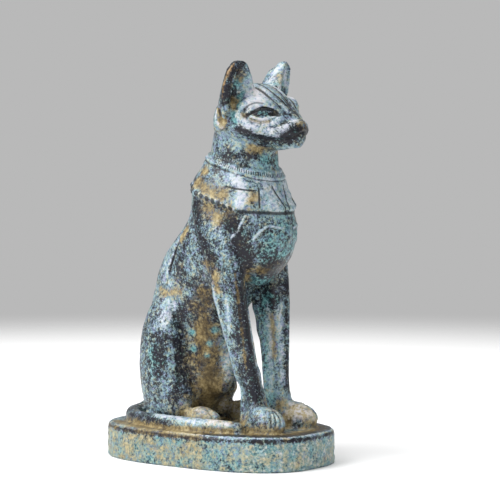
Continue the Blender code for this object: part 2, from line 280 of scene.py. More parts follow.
normals = look_again()
print("figure, mm above the plinth:", round(height.max(), 1))

# %% [markdown]
# The solid's own carving is coarse. Before the fine work the eyes, the collar, the mouth and
# the toes are rubbed down, in the way that a chaser files a casting clean before cutting it.

# %% Rub down the coarse carving
RUB_ROUNDS = 16
COLLAR_FOOT = (55.5, 57.5)
COLLAR_TOP = (73.0, 76.0)
EYE_SOCKET = [(20.5, 7.2, 85.5)]
LIPS = [(28.4, 0.0, 79.5), (26.4, 3.2, 79.0), (22.0, 6.5, 79.5)]
FOREPAW = [(22.0, 8.0, 3.0)]

rubbed = ramp(height, *COLLAR_FOOT) * (1 - ramp(height, *COLLAR_TOP))
for place, width in ((EYE_SOCKET, 5.0), (LIPS, 1.2), (FOREPAW, 5.5)):
    rubbed = np.maximum(rubbed, line(place, width))
points = relaxed(points, RUB_ROUNDS, outward=0.0, share=rubbed[:, None])
normals = look_again()
print("points rubbed down:", int((rubbed > 0.5).sum()))

# %% [markdown]
# All of the carving is first added up as one rise, in millimetres, at each point of the skin.
# A cut takes away from it along a curve, a lift adds to it, and the skin moves only once, at
# the end, so that no line disturbs the measuring of the next.

# %% Cuts and lifts
rise = np.zeros(len(points))


def cut(deep, wide, *curves):
    """Lowers the skin by deep on each curve, fading out over wide, in millimetres."""
    for curve in curves:
        rise[:] -= deep * line(curve, wide)


def lift(high, wide, *curves, both_sides=True):
    """Raises the skin by high on each curve, in the same way."""
    for curve in curves:
        rise[:] += high * line(curve, wide, both_sides)


print("points ready to carve:", len(rise))

# %% [markdown]
# The face is cut with lines: a brow over each eye, two lids round the eyeball, a band between
# two lines that runs from the ear to the bridge of the nose, and a line up the middle. The
# cheekbone and the edge of the muzzle stand up as soft ridges, with a furrow below them.

# %% Eyes and brows
BROW = [(16.0, 10.4, 86.0), (16.8, 10.0, 87.0), (17.8, 9.4, 87.7), (18.9, 8.7, 88.0), (20.2, 7.8, 87.9)]
LID_ROLL = [(16.8, 9.8, 85.5), (18.0, 9.0, 86.5), (19.3, 8.3, 87.1), (20.8, 7.4, 87.3), (22.3, 6.2, 86.8)]
LID_LINE = [(17.0, 9.9, 84.8), (18.1, 9.2, 85.6), (19.3, 8.3, 86.3), (20.7, 7.2, 86.5),
            (22.0, 6.1, 86.2), (23.2, 5.2, 85.5)]
LOWER_LID = [(17.6, 9.8, 84.5), (18.8, 9.2, 84.0), (20.2, 8.2, 83.7), (21.6, 7.0, 83.9), (22.9, 5.9, 84.4)]
UNDER_LID = [(18.0, 9.8, 83.5), (19.2, 9.1, 83.1), (20.5, 8.3, 82.8), (22.2, 7.2, 83.1)]
INNER_CORNER = [(22.4, 5.9, 85.1), (23.6, 4.9, 84.9)]
IRIS = [(20.4, 7.8, 85.2)]

cut(0.30, 0.32, BROW)
lift(0.22, 0.42, LID_ROLL)
cut(0.60, 0.38, LID_LINE)
lift(0.34, 0.32, LOWER_LID)
cut(0.34, 0.42, UNDER_LID)
cut(0.60, 0.65, INNER_CORNER)
cut(0.14, 0.60, IRIS)
print("eyes cut, deepest mm:", round(-rise.min(), 2))

# %% Forehead and bridge of the nose
UPPER_LINE = [(14.6, 1.7, 93.4), (17.9, 1.9, 92.0), (20.3, 1.5, 90.2), (21.9, 1.1, 88.8), (23.4, 0.8, 87.4)]
LOWER_LINE = [(15.6, 4.7, 92.6), (17.6, 4.6, 91.4), (19.4, 4.4, 90.2), (21.2, 4.2, 88.8), (23.2, 3.5, 86.8)]
FOREHEAD_BAND = [(15.0, 3.3, 93.0), (17.9, 3.3, 91.7), (20.5, 2.9, 89.8), (22.4, 2.4, 87.9),
                 (24.4, 1.9, 86.0)]
BRIDGE_LINE = [(21.5, 0.0, 89.3), (23.6, 0.0, 87.0), (25.3, 0.0, 84.9), (26.8, 0.0, 83.6)]
BRIDGE_EDGE = [(23.4, 2.2, 86.4), (25.0, 1.9, 84.9), (26.4, 1.6, 83.7)]

cut(0.30, 0.30, UPPER_LINE)
cut(0.28, 0.32, LOWER_LINE)
lift(0.22, 0.80, FOREHEAD_BAND)
cut(0.24, 0.28, BRIDGE_LINE)
cut(0.16, 0.28, BRIDGE_EDGE)
print("forehead band, mm long:", round(FOREHEAD_BAND[-1][0] - FOREHEAD_BAND[0][0], 1))

# %% Cheeks and muzzle
CHEEKBONE = [(14.1, 10.8, 84.4), (15.7, 10.9, 82.9), (17.8, 10.3, 82.0), (20.0, 9.2, 81.2),
             (22.1, 7.6, 80.7), (23.2, 6.4, 80.3)]
MUZZLE_EDGE = [(23.2, 6.4, 80.3), (25.0, 5.5, 81.0), (26.1, 4.1, 82.3), (26.8, 2.2, 83.3)]
JAW_FURROW = [(14.3, 11.1, 82.0), (16.5, 10.4, 80.6), (18.4, 8.9, 79.6), (20.4, 6.9, 78.9),
              (23.1, 4.5, 78.3), (25.5, 3.4, 78.5)]
MOUTH = [(28.6, 0.0, 80.3), (28.2, 1.2, 80.0), (27.6, 2.1, 79.4), (26.4, 2.9, 78.8), (25.0, 3.7, 78.4)]
NOSTRIL = [(28.4, 0.9, 81.3), (28.1, 1.5, 81.5)]
NOSE_TOP = [(27.6, 1.4, 82.5), (28.2, 0.7, 82.5), (28.2, 0.0, 82.6)]
WHISKER_DOTS = [[(24.2, 6.0, 81.7)], [(25.4, 5.1, 81.0)], [(25.8, 4.5, 81.8)], [(24.8, 5.4, 80.6)]]

lift(0.42, 0.95, CHEEKBONE)
lift(0.38, 0.80, MUZZLE_EDGE)
cut(0.34, 0.90, JAW_FURROW)
cut(0.40, 0.36, MOUTH)
cut(0.25, 0.35, NOSTRIL)
lift(0.12, 0.50, NOSE_TOP)
cut(0.16, 0.30, *WHISKER_DOTS)
print("whisker dots on each cheek:", len(WHISKER_DOTS))

# %% [markdown]
# Each ear is a hollow leaf with a thick outer rim, a narrow fold inside it and a root that
# spreads over the head in a small ledge. Its tip is filed a little lower than the solid's, and
# the far ear's root is a little fuller. The ring in the ear is cast solid with it, so its hole
# is only a deep dimple.

# %% Ears and earrings
EAR_TIP = [(15.0, 11.0, 100.0), (15.0, 12.2, 99.4)]
FAR_EAR_ROOT = [(9.6, 7.5, 93.5), (11.0, 8.5, 96.0)]
EAR_RIM = [(14.4, 12.5, 98.6), (13.5, 13.2, 96.4), (12.4, 13.5, 93.7), (11.8, 13.6, 91.6),
           (11.4, 13.6, 89.5)]
EAR_FOLD = [(13.8, 11.0, 96.0), (13.0, 11.2, 93.8), (12.6, 11.5, 91.6), (12.5, 12.0, 89.1)]
EAR_FURROW = [(14.0, 10.1, 96.2), (13.1, 10.0, 93.8), (12.3, 10.2, 91.6), (12.1, 10.2, 89.0)]
EAR_LEDGE = [(12.6, 9.4, 88.4), (13.1, 8.9, 89.4), (13.8, 7.7, 90.9), (14.2, 6.2, 91.9), (13.6, 3.4, 92.9)]
EAR_LOBE = [(12.4, 12.4, 87.3), (12.5, 11.2, 86.4), (12.3, 11.0, 84.5), (11.9, 11.0, 82.7)]
RING_HOLE = [(9.4, 12.7, 85.7), (9.7, 12.7, 84.8)]
RING_CUP = [(9.5, 12.6, 85.4), (9.8, 12.3, 83.4)]
RING_EDGE = [(8.4, 12.2, 86.2), (7.9, 11.9, 84.2), (8.5, 11.9, 82.6), (9.9, 11.6, 81.5), (11.2, 11.3, 82.5),
             (11.6, 11.6, 84.2), (11.2, 12.4, 85.8), (10.2, 13.2, 86.9), (8.9, 12.6, 86.9),
             (8.4, 12.2, 86.2)]

cut(0.50, 1.80, EAR_TIP)
lift(0.80, 1.60, FAR_EAR_ROOT, both_sides=False)
lift(0.25, 0.50, EAR_RIM)
lift(0.34, 0.38, EAR_FOLD)
cut(0.34, 0.50, EAR_FURROW)
lift(0.22, 0.50, EAR_LEDGE)
lift(0.32, 0.50, EAR_LOBE)
cut(0.40, 0.85, RING_CUP)
cut(0.60, 0.50, RING_HOLE)
lift(0.34, 0.40, RING_EDGE)
print("earring, mm high:", round(max(p[2] for p in RING_EDGE) - min(p[2] for p in RING_EDGE), 1))

# %% [markdown]
# The broad collar lies on slanting planes round the neck. Two raised lines with fine ticks
# between them close it at the top. Below them comes a plain sheet with a row of round beads
# along its lower edge, and in front a bib with a sharp hem, panels and rows of small marks.
#
# Ticks and beads are spaced evenly along the collar's own oval, and the length of that oval is
# added up in small steps from the middle of the breast.

# %% Measures round the collar
COLLAR_AXIS = 8.0
COLLAR_DEPTH = 14.6
COLLAR_WIDTH = 12.6
BIB_SPREAD = radians(62)
BIB_EDGE = 0.08

angle = np.arctan2(side / COLLAR_WIDTH, (forward - COLLAR_AXIS) / COLLAR_DEPTH)
turn = np.linspace(-pi, pi, 721)
arc_steps = np.hypot(COLLAR_DEPTH * np.sin(turn), COLLAR_WIDTH * np.cos(turn)) * (turn[1] - turn[0])
arc_to = np.cumsum(arc_steps)
arc = np.interp(angle, turn, arc_to - np.interp(0, turn, arc_to))


def over(start, fall):
    """Height over a plane that falls forwards."""
    return height - (start - fall * forward)


def ridge(distance, width):
    """Soft ridge, 1 on its crest, from the distance to it."""
    return np.exp(-(distance / width) ** 2)


def spaced(length, spacing):
    """Distance from the nearest of evenly spaced marks."""
    return (length / spacing - np.round(length / spacing)) * spacing


on_neck = (height > 52) & (height < 78) & (np.abs(side) < 15.5)
bib = 1 - ramp(np.abs(angle), BIB_SPREAD, BIB_SPREAD + BIB_EDGE)
upper = over(start=74.4, fall=0.27)
lower = over(start=72.8, fall=0.29)
beads_over = over(start=64.3, fall=0.33)
hem_over = over(start=61.6, fall=0.10)
print("round the collar, mm:", round(arc_to[-1], 1))

# %% Sheet, lines and ticks of the collar
SHEET_HIGH = 0.36
TICK_SPACING = 0.80
TICK_DEEP = 0.16
HEM_HIGH = 0.10
UNDER_HEM = 0.85
UNDER_HEM_DEEP = 0.60
LINE_GROOVE = 0.22

foot_over = bib * hem_over + (1 - bib) * beads_over
sheet = ramp(foot_over, -0.20, 0.20) * (1 - ramp(upper, -0.1, 0.5))
between_lines = ramp(lower, 0.4, 0.7) * (1 - ramp(upper, -0.7, -0.3))
hem = ramp(hem_over, -0.1, 0.2) * (1 - ramp(hem_over, 0.7, 1.2))
under_hem = ridge(hem_over + UNDER_HEM, 0.60) * bib

collar = SHEET_HIGH * sheet
collar += 0.16 * ridge(upper, 0.24) + 0.20 * ridge(lower - 0.30, 0.26)
collar -= 0.30 * ridge(lower + LINE_GROOVE, 0.26)
collar -= TICK_DEEP * ridge(spaced(arc, TICK_SPACING), 0.20) * between_lines
collar += HEM_HIGH * hem * bib
collar -= UNDER_HEM_DEEP * under_hem
print("ticks round the collar:", int(arc_to[-1] / TICK_SPACING))

# %% Beads of the collar
BEAD_SPACING = 1.80
BEAD_SIZE = 1.62
BEAD_FOOT = 0.10
BEAD_ROUNDNESS = 0.82
HEM_CORNER = [(20.2, 6.8, 61.6), (20.9, 7.8, 60.0), (21.4, 6.0, 59.0)]
HEM_BACK = [(-4.2, 8.0, 66.4), (-3.4, 8.6, 65.0)]

bead_gap = np.hypot(spaced(arc + 0.4, BEAD_SPACING), beads_over + 0.1)
bead = np.sqrt(np.clip((BEAD_SIZE / 2) ** 2 - bead_gap ** 2, 0, None)) * (1 - bib)
collar = np.maximum(collar, BEAD_FOOT * (bead > 0) + BEAD_ROUNDNESS * bead)
rise += collar * on_neck
cut(0.75, 1.50, HEM_CORNER)
cut(0.50, 1.20, HEM_BACK)
print("beads on the collar:", int((arc_to[-1] * (1 - BIB_SPREAD / pi)) / BEAD_SPACING))

# %% Bib panels
BIB_LINE = [(10.6, 11.2, 65.7), (13.2, 10.5, 65.2), (15.6, 9.2, 64.8), (17.6, 7.2, 64.6)]
PANEL_OUTER = [(18.0, 6.5, 65.3), (18.8, 7.3, 62.7), (19.8, 8.3, 60.2)]
PANEL_INNER = [(18.5, 5.7, 65.1), (19.3, 6.5, 62.5), (20.4, 7.6, 60.1)]
LAPEL = [(19.4, 2.6, 65.8), (20.3, 2.2, 64.2), (21.3, 1.4, 62.3), (22.4, 1.0, 60.4), (22.9, 0.8, 59.0)]
CENTRE_LINE = [(18.0, 0.0, 70.6), (19.6, 0.0, 66.0), (21.3, 0.0, 62.4), (22.9, 0.0, 59.2)]
NECK_PANEL = [(17.9, 2.0, 70.6), (18.9, 2.9, 67.6)]

cut(0.30, 0.28, BIB_LINE)
cut(0.30, 0.22, PANEL_OUTER)
lift(0.18, 0.22, PANEL_INNER)
cut(0.36, 0.40, LAPEL)
cut(0.20, 0.30, CENTRE_LINE)
cut(0.30, 0.28, NECK_PANEL)
print("bib, mm high:", round(BIB_LINE[0][2] - LAPEL[-1][2], 1))

# %% Worn marks on the bib
MARK_SPACING = 1.25
MARK_ROW = 1.30
MARK_DEEP = 0.18
MARK_WANDER = 0.9

wander = MARK_WANDER * skin_noise(2.6)
row = np.round((hem_over + wander) / MARK_ROW)
mark = ridge(spaced(arc + 0.5 * MARK_SPACING * (row % 2) + wander, MARK_SPACING), 0.22)
mark *= ridge(spaced(hem_over + wander, MARK_ROW), 0.30) * ramp(skin_noise(1.9), -0.15, 0.15)
rise -= MARK_DEEP * mark * bib * ramp(hem_over, 1.2, 1.8) * (1 - ramp(lower, -1.2, -0.8)) * on_neck
print("rows of marks:", int(row[on_neck].max() - row[on_neck].min()))

# %% [markdown]
# On the breast hangs a winged amulet in very low relief, on two cords that come down from the
# collar. Only its upper edge and a few feather lines are sharp, the rest is worn.

# %% Breast amulet
WING = [(18.6, 9.4, 51.8), (19.4, 8.8, 53.2), (20.6, 7.5, 54.7), (21.6, 6.2, 55.3), (22.5, 4.6, 55.0),
        (23.2, 2.4, 54.6)]
WING_SHADE = [(19.6, 8.7, 51.9), (20.6, 7.6, 53.2), (21.6, 6.2, 54.0), (22.6, 4.4, 53.7)]
WING_FOOT = [(20.6, 7.4, 50.6), (22.0, 5.2, 51.4), (23.0, 2.6, 52.6), (23.3, 0.6, 53.4)]
AMULET_BODY = [(23.3, 0.0, 55.6), (23.4, 0.0, 53.6), (23.2, 0.0, 51.6)]
CORD = [(16.6, 10.6, 58.0), (15.6, 11.1, 55.8), (14.8, 11.5, 54.0), (13.0, 12.1, 52.1)]
CORD_BRANCH = [(17.6, 10.0, 55.6), (16.6, 10.6, 55.3), (15.6, 11.1, 55.0)]
FEATHERS = 7
FEATHER_TOP = np.array((0.0, 0.0, -0.5))
FEATHER_FOOT = np.array((0.3, -0.5, -2.6))

lift(0.32, 0.30, WING)
cut(0.24, 0.45, WING_SHADE)
lift(0.20, 0.60, WING_FOOT)
lift(0.30, 1.10, AMULET_BODY)
lift(0.26, 0.24, CORD)
lift(0.18, 0.24, CORD_BRANCH)
wing_edge = smooth_path(WING)
for share in np.linspace(0.15, 0.9, FEATHERS):
    top = wing_edge[int(share * (len(wing_edge) - 1))]
    cut(0.16, 0.20, [top + FEATHER_TOP, top + FEATHER_FOOT])
print("feather lines on each wing:", FEATHERS)

# %% [markdown]
# The legs are long and plain. A furrow runs down the outer front of each foreleg, another
# parts the shoulder from the back, and one bends round the haunch.

# %% Legs and haunches
LEG_FURROW = [(13.2, 12.6, 48.0), (14.6, 12.1, 42.0), (15.4, 11.6, 34.0), (15.8, 10.6, 26.0),
              (16.0, 9.8, 20.0)]
LEG_EDGE = [(7.2, 12.4, 40.0), (9.0, 11.4, 31.0), (10.6, 9.8, 22.0), (11.8, 8.6, 14.0)]
SHOULDER_BACK = [(-2.0, 11.2, 63.0), (-1.6, 11.6, 57.4), (1.9, 12.6, 51.0), (5.6, 12.9, 44.0),
                 (7.0, 11.6, 38.0)]
HAUNCH_FRONT = [(-5.4, 10.2, 32.0), (-4.4, 10.6, 26.0), (-4.0, 10.8, 18.0), (-4.0, 11.4, 10.0),
                (-4.6, 12.0, 6.5)]
BACK_FURROW = [(-6.6, 10.2, 50.0), (-7.6, 10.6, 47.0), (-9.4, 10.8, 42.8)]

cut(0.32, 0.60, LEG_FURROW)
lift(0.16, 0.60, LEG_EDGE)
cut(0.40, 0.80, SHOULDER_BACK)
cut(0.35, 1.40, HAUNCH_FRONT)
cut(0.50, 0.60, BACK_FURROW)
print("leg furrow, mm long:", round(LEG_FURROW[0][2] - LEG_FURROW[-1][2]))

# %% [markdown]
# The daylight between the legs shows how slim they are. The solid's are a little thick, so
# inner sides, heels and shins are filed back, the lap and the far knee are filled out, and the
# arch between forelegs and belly is moved straight up, by the lift in millimetres. A cut goes
# in along the skin's own facing, and would widen the arch instead of raising it.

# %% Slim the legs and raise the arch
SHIN = [(-2.4, 10.6, 28.0), (-1.6, 10.4, 19.0), (-1.0, 10.6, 11.0)]
LEG_INNER = [(15.8, 7.6, 39.5), (16.2, 7.0, 36.0), (16.6, 6.6, 33.0), (17.0, 6.0, 28.0), (17.4, 5.4, 23.5),
             (17.9, 4.8, 19.0)]
PASTERN_INNER = [(18.0, 4.7, 17.0), (18.4, 4.3, 13.0)]
HEEL = [(12.4, 9.0, 11.0), (13.6, 9.3, 7.0), (14.8, 10.0, 4.2)]
ARMPIT = [(8.0, 5.8, 31.5), (8.4, 6.0, 29.0), (8.8, 6.0, 25.0)]
FAR_ARMPIT = [(8.3, 5.6, 31.0), (8.7, 5.6, 28.6)]
LAP_FRONT = [(4.0, 0.6, 17.0), (3.4, 1.0, 13.0), (2.6, 1.6, 10.0)]
FAR_KNEE = [(-3.6, 9.6, 19.0), (-3.4, 9.8, 14.0), (-3.4, 9.9, 9.6)]
ARCH_LIFT = 4.7

cut(0.80, 2.20, SHIN)
cut(1.20, 2.00, LEG_INNER)
cut(0.45, 1.60, PASTERN_INNER)
cut(1.30, 2.30, HEEL)
lift(0.70, 1.40, ARMPIT)
lift(2.20, 2.40, LAP_FRONT)
lift(2.10, 2.30, FAR_KNEE, both_sides=False)
lift(0.90, 1.20, FAR_ARMPIT, both_sides=False)
arch = ramp(forward, 2.0, 6.5) * (1 - ramp(forward, 10.5, 15.0)) * (1 - ramp(np.abs(side), 5.5, 8.5))
arch *= ramp(height, 23.0, 30.0) * (1 - ramp(height, 34.0, 43.0))
print("arch raised by mm:", round(ARCH_LIFT * arch.max(), 1))

# %% [markdown]
# Four furrows of uneven depth fan out over each forepaw, and the hind paws show two. A small
# notch on the inner side of each forepaw is its claw. The tail lies along the cat's right side
# only, and a soft crest is raised along its top.

# %% Paws and tail
TOES = [
    [(22.2, 8.8, 6.5), (23.2, 10.8, 4.1), (23.8, 11.1, 2.0)],
    [(22.9, 8.5, 6.6), (24.6, 10.0, 4.4), (25.0, 10.5, 2.0)],
    [(23.5, 8.0, 6.5), (25.8, 9.4, 4.1), (26.1, 9.8, 2.0)],
    [(24.2, 7.5, 6.3), (26.5, 8.2, 4.1), (26.9, 8.7, 2.2)],
]
TOE_DEPTHS = (0.34, 0.46, 0.36, 0.44)
CLAW = [(24.1, 3.9, 2.4)]
HIND_TOES = [[(3.6, 10.2, 5.4), (6.2, 11.2, 3.2), (7.0, 11.6, 0.9)],
             [(4.6, 8.6, 5.4), (7.2, 8.9, 3.2), (7.9, 9.0, 0.9)]]
TAIL_TOP = [(-10.0, -15.2, 3.7), (-4.0, -15.7, 3.5), (4.0, -15.9, 3.3), (10.0, -15.8, 3.1),
            (14.5, -15.2, 2.8)]

lift(0.35, 1.30, TAIL_TOP, both_sides=False)
for toe, depth in zip(TOES, TOE_DEPTHS):
    cut(depth, 0.34, toe)
cut(0.34, 0.42, CLAW)
cut(0.30, 0.42, *HIND_TOES)
print("furrows on each forepaw and hind paw:", len(TOES), len(HIND_TOES))

# %% [markdown]
# A sand casting is never quite smooth. The skin gets a slow unevenness, a fine grain and
# scattered pits, all small beside the carving, and the plinth's side gets shallow crusts.

# %% Casting skin
GRAIN_SIZE = 0.9
GRAIN_DEPTH = 0.055
WAVE_SIZE = 3.4
WAVE_DEPTH = 0.10
CRUST_SIZE = 1.7
CRUST_HIGH = 0.16
PITS = 420
PIT_SEED = 7
PIT_WIDTHS = (0.25, 0.55)
PIT_DEPTHS = (0.06, 0.20)

on_plinth_side = (height < -1.5) & (np.abs(true_facing[:, 2]) < 0.5)
rise += WAVE_DEPTH * skin_noise(WAVE_SIZE) + GRAIN_DEPTH * skin_noise(GRAIN_SIZE, 2)
rise += CRUST_HIGH * ramp(skin_noise(CRUST_SIZE, 2), 0.15, 0.55) * on_plinth_side
random = np.random.default_rng(PIT_SEED)
for index in random.choice(len(points), PITS, replace=False):
    pit = line([tuple(true_places[index])], random.uniform(*PIT_WIDTHS), both_sides=False)
    rise -= random.uniform(*PIT_DEPTHS) * pit
print("rise of the carving, mm:", round(rise.min(), 2), "to", round(rise.max(), 2))

# %% [markdown]
# The cut skin is written back. Its underside stays flat, and nothing may stand outside the
# solid's own box.

# %% Cut the skin
points = points + normals * (rise * MM)[:, None]
points[:, 2] += ARCH_LIFT * MM * arch
points[:, 2] = np.where(on_table, 0.0, np.maximum(points[:, 2], 0.0))
points = np.clip(points, np.array(low), np.array(high))
normals = look_again()
print("skin box, mm:", (np.ptp(points, axis=0) / MM).round(2))

# %% [markdown]
# Dirt gathers where the skin lies below its surroundings. Relaxing the points a little shows
# the fine hollows, and relaxing them a lot shows the broad ones. The fine measure is kept for
# the finish, which paints shade into the fine hollows and a painted highlight onto the fine
# ridges. The broad one feeds the ochre dirt below.

# %% Hollows and ridges
FINE_ROUNDS = 5
BROAD_ROUNDS = 70


def keep(name, values):
    """Stores a measure of each point on the skin, for a material to read."""
    attribute = cat.data.attributes.new(name, "FLOAT", "POINT")
    attribute.data.foreach_set("value", values.astype(np.float32))


fine = np.sum((relaxed(points, FINE_ROUNDS, outward=0.0) - points) * normals, axis=1) / MM
broad = np.sum((relaxed(points, BROAD_ROUNDS, outward=0.0) - points) * normals, axis=1) / MM
keep("fine_hollow", fine)
print("fine hollow, mm:", fine.min().round(2), fine.max().round(2))
print("broad hollow, mm:", broad.min().round(2), broad.max().round(2))

# %% [markdown]
# The patina isn't the same all over. Years of handling, rain and soil leave ochre dirt under
# the chest and in the lap, and teal salts on the throat and breast. Painted shade, with some
# bare blue-black skin, lies where the figure turns from the light, and a pale, lilac painted
# highlight, with some paler patina, where it turns to it. Painted shade darkens the cut lines,
# and a last gleam of gold lies on the near ear's rim. Each of the six is a wash laid along a
# few short strokes, on both sides of the cat or on one. The finish later breaks the edges of
# the washes up with noise.

# %% Washes of patina and painted light
SHOWS_FROM = 0.4

washes = {name: np.zeros(len(points)) for name in ("ochre", "teal", "shade_and_dark_skin", "highlight_and_pale_patina", "line_shade_and_dark_beads", "gold")}


def wash(name, strength, width, *strokes, both_sides=True):
    """Lays a wash of that strength, fading over that many millimetres, along each stroke."""
    for stroke in strokes:
        washes[name] = np.maximum(washes[name], strength * line(stroke, width, both_sides))


def wash_side(name, strength, width, *strokes):
    """Lays a wash on one side only: a side below zero is the cat's right."""
    wash(name, strength, width, *strokes, both_sides=False)


def wash_over(name, values):
    """Lays a wash given point by point."""
    washes[name] = np.maximum(washes[name], values)


def on_right(curve):
    """The curve on the cat's right side only."""
    return [(ahead, -out, up) for ahead, out, up in curve]


def report(name):
    """Prints how much of the skin a wash covers."""
    print("points under", name + ":", int((washes[name] > SHOWS_FROM).sum()))


print("washes to lay:", ", ".join(washes))

# %% Ochre dirt on the body
BROW_BONE = [(18.5, 8.9, 89.0), (17.5, 5.8, 91.0)]
FAR_HIND_FOOT = [(-4.2, 6.8, 4.2), (1.2, 7.0, 3.0)]

# head, from brow to ring
wash("ochre", 0.40, 4.5, BROW_BONE)
wash("ochre", 0.66, 1.2, [(15.6, 10.4, 84.8), (17.0, 9.7, 83.4), (19.4, 8.3, 82.9), (21.6, 6.9, 82.9)])
wash("ochre", 0.75, 1.2, [(9.8, 12.4, 84.0)], [(12.1, 9.9, 88.8), (12.6, 9.9, 86.6)],
     [(27.7, 1.1, 82.6), (28.5, 0.5, 81.8)])
wash_side("ochre", 0.45, 1.3, [(14.8, 7.6, 95.6), (15.2, 7.2, 93.8)])
wash_side("ochre", 0.65, 1.0, [(14.4, -8.4, 95.6), (13.9, -8.8, 94.0)],
          [(12.9, -9.8, 88.6), (12.5, -10.4, 87.4)])
wash_side("ochre", 0.95, 1.7, [(9.4, -12.6, 85.8), (9.8, -12.3, 82.4)])
# throat, collar and shoulder
wash("ochre", 0.80, 2.4, [(-0.5, 10.4, 66.5), (5.7, 11.8, 64.9), (9.8, 11.9, 63.4)],
     [(5.7, 12.7, 60.1), (7.8, 12.8, 58.6), (9.1, 12.8, 57.0)])
wash("ochre", 0.70, 1.6, [(14.8, 6.1, 76.2), (16.6, 4.1, 75.6), (18.7, 2.4, 75.6)],
     [(2.9, 9.5, 69.1), (0.0, 10.0, 70.8)], [(17.2, 9.4, 61.9), (17.9, 8.0, 62.9)],
     [(12.0, 11.4, 60.2), (12.6, 11.6, 58.6)], [(-3.6, 10.4, 54.0), (-4.6, 10.0, 51.0)])
wash_side("ochre", 0.75, 0.9, [(21.4, 6.0, 58.0), (21.7, 5.8, 54.5)])
# under chest, lap and haunches
wash("ochre", 0.55, 1.8, [(15.4, 6.6, 42.6), (16.6, 5.4, 43.0), (18.6, 3.4, 43.6)], [(14.1, 6.6, 39.6)])
wash("ochre", 0.55, 4.0, [(2.3, 10.0, 37.0), (0.4, 9.0, 31.0)])
wash("ochre", 0.92, 4.6, [(0.3, 8.0, 25.5), (0.4, 6.0, 18.0), (0.6, 4.6, 12.5), (-2.4, 3.0, 6.0)])
wash("ochre", 0.70, 1.6, [(-13.6, 8.6, 37.0), (-11.6, 9.4, 36.1), (-5.6, 10.4, 37.0)],
     [(5.2, 13.4, 45.2), (8.6, 13.5, 41.8), (8.9, 13.0, 38.2)])
report("ochre")

# %% Ochre dirt on the legs, paws and plinth
wash("ochre", 0.60, 0.5, [(14.4, 12.2, 43.3), (15.3, 11.7, 34.1), (15.7, 10.5, 24.7), (15.9, 9.3, 16.6)])
wash("ochre", 0.75, 1.2, [(13.4, 5.4, 30.1), (14.4, 4.9, 26.1), (15.4, 4.0, 19.5)])
wash("ochre", 0.80, 2.6, [(-3.6, 10.8, 4.1), (4.5, 11.1, 4.5)],
     [(19.1, 3.9, 6.2), (23.2, 5.1, 5.6), (25.1, 4.7, 1.8)], [(14.5, 10.5, 2.0)],
     [(18.6, 13.0, 0.3), (27.5, 8.0, 0.2), (27.5, 0.0, 0.0)])
wash_side("ochre", 0.95, 3.0, [(22.0, 3.5, 5.6), (24.5, 4.6, 4.0)], [(20.5, 3.4, 2.0)])
wash("ochre", 0.95, 3.2, [(4.0, 3.5, 1.5), (8.5, 6.0, 1.5), (9.0, 9.0, 1.5)],
     [(1.0, 10.0, 8.0), (2.0, 8.0, 12.0)])
wash("ochre", 1.00, 3.0, FAR_HIND_FOOT)
# along foot of tail
wash_side("ochre", 0.80, 1.8,
          [(-26.0, -12.0, 0.0), (-20.5, -15.8, 0.0), (-8.4, -19.6, 0.0), (8.0, -19.0, 0.0)])
wash_side("ochre", 0.80, 1.1, [(9.5, -16.2, 3.0), (15.0, -15.4, 2.8)])
wash_side("ochre", 0.90, 1.1,
          [(-20.0, -15.0, 0.3), (-8.0, -17.8, 0.3), (0.5, -18.5, 0.5), (9.9, -17.6, 0.8),
           (16.0, -15.8, 1.0)])
report("ochre")

# %% Teal salts
EYE_BALL = [(18.0, 9.2, 84.9), (19.5, 8.0, 85.2), (20.8, 7.2, 85.2), (22.0, 6.2, 85.0)]
LAP_SPOTS = [[(2.8, 5.9, 26.3)], [(1.2, 6.4, 22.6)], [(0.4, 6.2, 19.6)], [(-3.4, 7.3, 25.5)],
             [(-3.6, 7.2, 21.1)]]

# eye, temple and root of ear
wash("teal", 0.62, 0.75, EYE_BALL[1:3])
wash("teal", 0.95, 1.0, [(12.9, 10.7, 85.3), (13.5, 11.0, 83.2)], [(13.8, 10.2, 87.4), (13.8, 9.3, 88.5)],
     EAR_LEDGE[:4])
# throat and breast
wash("teal", 0.70, 1.9, [(17.2, 2.8, 73.7), (17.7, 3.1, 69.6), (18.9, 3.2, 66.9)],
     [(20.0, 5.0, 62.9), (21.2, 4.0, 61.6)])
wash_side("teal", 0.75, 1.4, [(19.2, 5.8, 64.5), (20.4, 6.8, 61.6)], [(21.6, 5.4, 56.0), (22.0, 5.0, 52.0)])
wash("teal", 0.50, 3.2, [(21.1, 5.6, 49.1), (22.7, 3.3, 51.2), (22.4, 0.2, 48.3)],
     [(22.4, 2.5, 57.6), (23.2, 1.4, 52.3)])
# lap, inner foreleg, inside of ear and haunch
wash("teal", 1.20, 1.1, *LAP_SPOTS)
wash("teal", 0.65, 1.9, [(11.4, 5.8, 34.0), (13.1, 4.4, 23.4), (14.0, 3.1, 12.7), (15.0, 2.7, 7.4)],
     [(15.2, 1.5, 40.5), (14.5, 5.0, 40.0)], [(13.6, 9.6, 93.0)])
wash("teal", 0.35, 1.9, [(-13.6, 13.5, 20.5), (-11.7, 13.7, 13.8)])
report("teal")

# %% Painted shade and bare dark skin on the head and body
# eye, muzzle, forehead and near ear
wash("shade_and_dark_skin", 1.05, 0.95, EYE_BALL, [(16.6, 10.3, 86.2), (17.2, 10.0, 85.0)])
# painted shade under the jaw and the muzzle
wash("shade_and_dark_skin", 1.40, 1.7,
     [(15.4, 10.4, 80.8), (18.4, 8.9, 79.3), (20.4, 6.9, 78.9), (23.1, 4.8, 78.7), (25.5, 3.6, 79.1)],
     [(24.4, 5.2, 79.2), (25.6, 4.6, 79.9), (26.8, 3.6, 80.5), (27.6, 2.2, 81.1)])
wash("shade_and_dark_skin", 0.75, 0.9, [(21.0, 2.0, 90.4), (23.4, 1.6, 87.6), (25.0, 1.2, 85.4)])
wash_side("shade_and_dark_skin", 1.20, 1.5, [(14.2, -10.4, 97.4), (13.3, -10.2, 94.0), (12.5, -10.4, 90.0)],
          [(13.8, -12.4, 96.8), (13.2, -13.4, 92.2), (12.6, -13.4, 89.0)])
